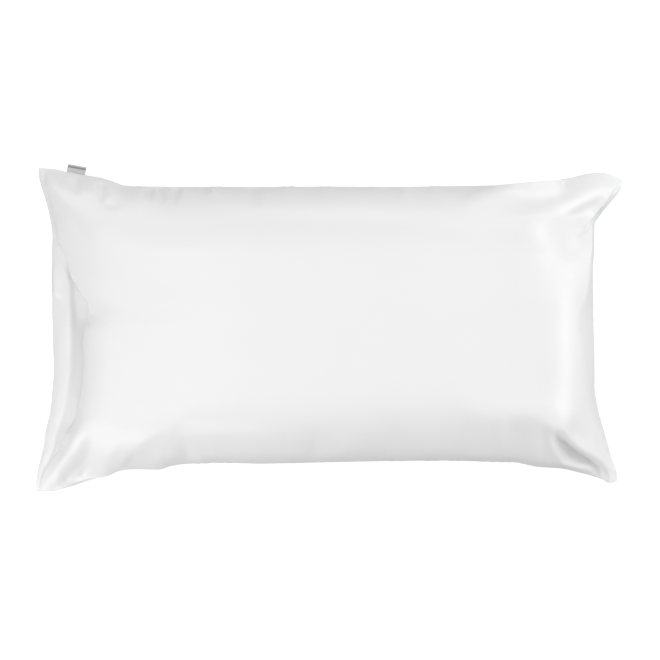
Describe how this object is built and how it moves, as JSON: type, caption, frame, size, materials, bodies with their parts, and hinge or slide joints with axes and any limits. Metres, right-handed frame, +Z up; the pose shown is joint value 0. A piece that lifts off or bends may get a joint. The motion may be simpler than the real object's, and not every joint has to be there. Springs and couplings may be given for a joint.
{
  "type": "filled pillowcase",
  "caption": "Satin pillowcase filled by its pillow, lying on its back, with drawn-in sides, slack folded ends and a folded tape tab.",
  "frame": {"origin": "centre of the bounding box's base, on the surface the pillow lies on", "axes": "+X along the long sides, +Y across them towards the side with the tab, +Z up out of the front"},
  "size_m": [0.882, 0.4938, 0.166],
  "materials": {
    "satin": "smooth white satin weave with a soft sheen",
    "tape": "matte grey woven tape"
  },
  "bodies": {
    "root": {"pillowcase": "satin", "side_tab": "tape"}
  },
  "joints": []
}
